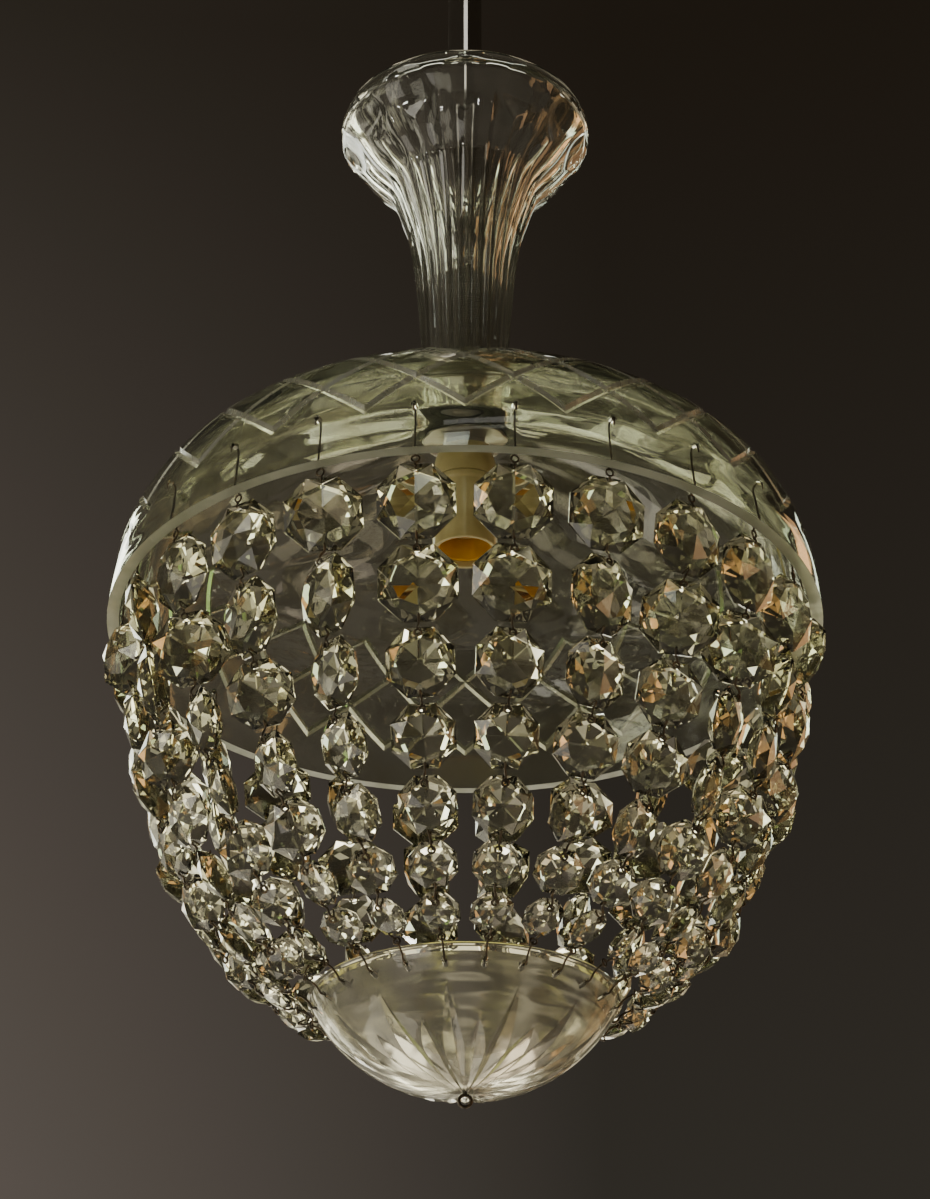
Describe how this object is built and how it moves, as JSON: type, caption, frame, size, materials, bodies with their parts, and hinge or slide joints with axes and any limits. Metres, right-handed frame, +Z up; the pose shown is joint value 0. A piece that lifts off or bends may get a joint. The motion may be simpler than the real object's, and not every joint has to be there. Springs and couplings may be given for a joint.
{
  "type": "ceiling lamp",
  "caption": "Hanging glass lamp: a hooked rod carries a domed glass dish, a fluted glass vase over the rod, and a basket of faceted crystal strands that ends in a small star-cut bowl.",
  "frame": {"origin": "on the ceiling, on the axis of the rod, at the top face of the ceiling plate", "axes": "+Z up along the rod, +X to the right and -Y towards the viewer of the picture"},
  "size_m": [0.3004, 0.2994, 0.7011],
  "materials": {
    "nickel": "polished nickel plate",
    "steel": "plain steel",
    "brass": "plain brass",
    "felt": "dark felt",
    "green_glass": "clear pressed glass with a green edge",
    "clear_glass": "clear cut glass",
    "crystal": "clear, lightly smoked cut crystal",
    "dark_wire": "blackened wire",
    "ivory": "aged ivory moulded shell",
    "amber": "amber brown liner",
    "ceramic": "unglazed ceramic"
  },
  "bodies": {
    "ceiling": {"ceiling_plate": "steel", "ceiling_hook": "steel"},
    "ring": {"hanging_ring": "nickel"},
    "lamp": {"rod_eye": "nickel", "rod": "nickel", "rod_foot_nut": "nickel", "upper_felt": "felt", "threaded_nipple": "brass", "lower_felt": "felt", "steel_washer": "steel", "lock_nut": "steel", "dish": "green_glass", "holder_cap": "ivory", "holder_body": "ivory", "holder_liner": "amber", "holder_core": "ceramic", "screw_shell": "brass", "centre_contact": "brass"},
    "canopy": {"canopy": "nickel", "canopy_collar": "nickel"},
    "clamp_screw": {"collar_screw": "nickel"},
    "vase": {"vase": "clear_glass"},
    "strand_01_body": {"strand_01": "crystal"},
    "strand_02_body": {"strand_02": "crystal"},
    "strand_03_body": {"strand_03": "crystal"},
    "strand_04_body": {"strand_04": "crystal"},
    "strand_05_body": {"strand_05": "crystal"},
    "strand_06_body": {"strand_06": "crystal"},
    "strand_07_body": {"strand_07": "crystal"},
    "strand_08_body": {"strand_08": "crystal"},
    "strand_09_body": {"strand_09": "crystal"},
    "strand_10_body": {"strand_10": "crystal"},
    "strand_11_body": {"strand_11": "crystal"},
    "strand_12_body": {"strand_12": "crystal"},
    "strand_13_body": {"strand_13": "crystal"},
    "strand_14_body": {"strand_14": "crystal"},
    "strand_15_body": {"strand_15": "crystal"},
    "strand_16_body": {"strand_16": "crystal"},
    "strand_17_body": {"strand_17": "crystal"},
    "strand_18_body": {"strand_18": "crystal"},
    "strand_19_body": {"strand_19": "crystal"},
    "strand_20_body": {"strand_20": "crystal"},
    "strand_21_body": {"strand_21": "crystal"},
    "strand_22_body": {"strand_22": "crystal"},
    "strand_23_body": {"strand_23": "crystal"},
    "strand_24_body": {"strand_24": "crystal"},
    "bowl": {"bowl": "clear_glass", "bowl_pole_eye": "dark_wire"}
  },
  "joints": [
    {"name": "ring_swing", "type": "hinge", "parent": "ceiling", "child": "ring", "pos_m": [0, 0, -0.035], "axis": [1, 0, 0], "range_deg": [-3.5, 3.5]},
    {"name": "lamp_swing", "type": "hinge", "parent": "ring", "child": "lamp", "pos_m": [0, 0, -0.05145], "axis": [0, 1, 0], "range_deg": [-3.5, 3.5]},
    {"name": "canopy_slide", "type": "slide", "parent": "lamp", "child": "canopy", "axis": [0, 0, 1], "range_m": [-0.11, 0]},
    {"name": "clamp_screw_turn", "type": "hinge", "parent": "canopy", "child": "clamp_screw", "pos_m": [0.014, 0, -0.0938], "axis": [1, 0, 0], "range_deg": [-360, 0]},
    {"name": "vase_lift", "type": "slide", "parent": "lamp", "child": "vase", "axis": [0, 0, 1], "range_m": [0, 0.11]},
    {"name": "strand_01_sway", "type": "hinge", "parent": "lamp", "child": "strand_01_body", "pos_m": [-0.0189, -0.14356, -0.47405], "axis": [0, 1, 0], "range_deg": [-2.5, 2.5]},
    {"name": "strand_02_sway", "type": "hinge", "parent": "lamp", "child": "strand_02_body", "pos_m": [0.0189, -0.14356, -0.47405], "axis": [0, 1, 0], "range_deg": [-2.5, 2.5]},
    {"name": "strand_03_sway", "type": "hinge", "parent": "lamp", "child": "strand_03_body", "pos_m": [0.05541, -0.13378, -0.47405], "axis": [0, 1, 0], "range_deg": [-2.5, 2.5]},
    {"name": "strand_04_sway", "type": "hinge", "parent": "lamp", "child": "strand_04_body", "pos_m": [0.08815, -0.11488, -0.47405], "axis": [0, 1, 0], "range_deg": [-2.5, 2.5]},
    {"name": "strand_05_sway", "type": "hinge", "parent": "lamp", "child": "strand_05_body", "pos_m": [0.11488, -0.08815, -0.47405], "axis": [0, 1, 0], "range_deg": [-2.5, 2.5]},
    {"name": "strand_06_sway", "type": "hinge", "parent": "lamp", "child": "strand_06_body", "pos_m": [0.13378, -0.05541, -0.47405], "axis": [0, 1, 0], "range_deg": [-2.5, 2.5]},
    {"name": "strand_07_sway", "type": "hinge", "parent": "lamp", "child": "strand_07_body", "pos_m": [0.14356, -0.0189, -0.47405], "axis": [0, 1, 0], "range_deg": [-2.5, 2.5]},
    {"name": "strand_08_sway", "type": "hinge", "parent": "lamp", "child": "strand_08_body", "pos_m": [0.14356, 0.0189, -0.47405], "axis": [0, 1, 0], "range_deg": [-2.5, 2.5]},
    {"name": "strand_09_sway", "type": "hinge", "parent": "lamp", "child": "strand_09_body", "pos_m": [0.13378, 0.05541, -0.47405], "axis": [0, 1, 0], "range_deg": [-2.5, 2.5]},
    {"name": "strand_10_sway", "type": "hinge", "parent": "lamp", "child": "strand_10_body", "pos_m": [0.11488, 0.08815, -0.47405], "axis": [0, 1, 0], "range_deg": [-2.5, 2.5]},
    {"name": "strand_11_sway", "type": "hinge", "parent": "lamp", "child": "strand_11_body", "pos_m": [0.08815, 0.11488, -0.47405], "axis": [0, 1, 0], "range_deg": [-2.5, 2.5]},
    {"name": "strand_12_sway", "type": "hinge", "parent": "lamp", "child": "strand_12_body", "pos_m": [0.05541, 0.13378, -0.47405], "axis": [0, 1, 0], "range_deg": [-2.5, 2.5]},
    {"name": "strand_13_sway", "type": "hinge", "parent": "lamp", "child": "strand_13_body", "pos_m": [0.0189, 0.14356, -0.47405], "axis": [0, 1, 0], "range_deg": [-2.5, 2.5]},
    {"name": "strand_14_sway", "type": "hinge", "parent": "lamp", "child": "strand_14_body", "pos_m": [-0.0189, 0.14356, -0.47405], "axis": [0, 1, 0], "range_deg": [-2.5, 2.5]},
    {"name": "strand_15_sway", "type": "hinge", "parent": "lamp", "child": "strand_15_body", "pos_m": [-0.05541, 0.13378, -0.47405], "axis": [0, 1, 0], "range_deg": [-2.5, 2.5]},
    {"name": "strand_16_sway", "type": "hinge", "parent": "lamp", "child": "strand_16_body", "pos_m": [-0.08815, 0.11488, -0.47405], "axis": [0, 1, 0], "range_deg": [-2.5, 2.5]},
    {"name": "strand_17_sway", "type": "hinge", "parent": "lamp", "child": "strand_17_body", "pos_m": [-0.11488, 0.08815, -0.47405], "axis": [0, 1, 0], "range_deg": [-2.5, 2.5]},
    {"name": "strand_18_sway", "type": "hinge", "parent": "lamp", "child": "strand_18_body", "pos_m": [-0.13378, 0.05541, -0.47405], "axis": [0, 1, 0], "range_deg": [-2.5, 2.5]},
    {"name": "strand_19_sway", "type": "hinge", "parent": "lamp", "child": "strand_19_body", "pos_m": [-0.14356, 0.0189, -0.47405], "axis": [0, 1, 0], "range_deg": [-2.5, 2.5]},
    {"name": "strand_20_sway", "type": "hinge", "parent": "lamp", "child": "strand_20_body", "pos_m": [-0.14356, -0.0189, -0.47405], "axis": [0, 1, 0], "range_deg": [-2.5, 2.5]},
    {"name": "strand_21_sway", "type": "hinge", "parent": "lamp", "child": "strand_21_body", "pos_m": [-0.13378, -0.05541, -0.47405], "axis": [0, 1, 0], "range_deg": [-2.5, 2.5]},
    {"name": "strand_22_sway", "type": "hinge", "parent": "lamp", "child": "strand_22_body", "pos_m": [-0.11488, -0.08815, -0.47405], "axis": [0, 1, 0], "range_deg": [-2.5, 2.5]},
    {"name": "strand_23_sway", "type": "hinge", "parent": "lamp", "child": "strand_23_body", "pos_m": [-0.08815, -0.11488, -0.47405], "axis": [0, 1, 0], "range_deg": [-2.5, 2.5]},
    {"name": "strand_24_sway", "type": "hinge", "parent": "lamp", "child": "strand_24_body", "pos_m": [-0.05541, -0.13378, -0.47405], "axis": [0, 1, 0], "range_deg": [-2.5, 2.5]},
    {"name": "bowl_sway", "type": "hinge", "parent": "strand_01_body", "child": "bowl", "pos_m": [-0.00737, -0.05595, -0.66304], "axis": [0, 1, 0], "range_deg": [-6.47, 6.47]}
  ],
  "couplings": [
    {"joint": "strand_02_sway", "follows": "strand_01_sway", "ratio": 1},
    {"joint": "strand_03_sway", "follows": "strand_01_sway", "ratio": 1},
    {"joint": "strand_04_sway", "follows": "strand_01_sway", "ratio": 1},
    {"joint": "strand_05_sway", "follows": "strand_01_sway", "ratio": 1},
    {"joint": "strand_06_sway", "follows": "strand_01_sway", "ratio": 1},
    {"joint": "strand_07_sway", "follows": "strand_01_sway", "ratio": 1},
    {"joint": "strand_08_sway", "follows": "strand_01_sway", "ratio": 1},
    {"joint": "strand_09_sway", "follows": "strand_01_sway", "ratio": 1},
    {"joint": "strand_10_sway", "follows": "strand_01_sway", "ratio": 1},
    {"joint": "strand_11_sway", "follows": "strand_01_sway", "ratio": 1},
    {"joint": "strand_12_sway", "follows": "strand_01_sway", "ratio": 1},
    {"joint": "strand_13_sway", "follows": "strand_01_sway", "ratio": 1},
    {"joint": "strand_14_sway", "follows": "strand_01_sway", "ratio": 1},
    {"joint": "strand_15_sway", "follows": "strand_01_sway", "ratio": 1},
    {"joint": "strand_16_sway", "follows": "strand_01_sway", "ratio": 1},
    {"joint": "strand_17_sway", "follows": "strand_01_sway", "ratio": 1},
    {"joint": "strand_18_sway", "follows": "strand_01_sway", "ratio": 1},
    {"joint": "strand_19_sway", "follows": "strand_01_sway", "ratio": 1},
    {"joint": "strand_20_sway", "follows": "strand_01_sway", "ratio": 1},
    {"joint": "strand_21_sway", "follows": "strand_01_sway", "ratio": 1},
    {"joint": "strand_22_sway", "follows": "strand_01_sway", "ratio": 1},
    {"joint": "strand_23_sway", "follows": "strand_01_sway", "ratio": 1},
    {"joint": "strand_24_sway", "follows": "strand_01_sway", "ratio": 1},
    {"joint": "bowl_sway", "follows": "strand_01_sway", "ratio": -2.5661}
  ]
}
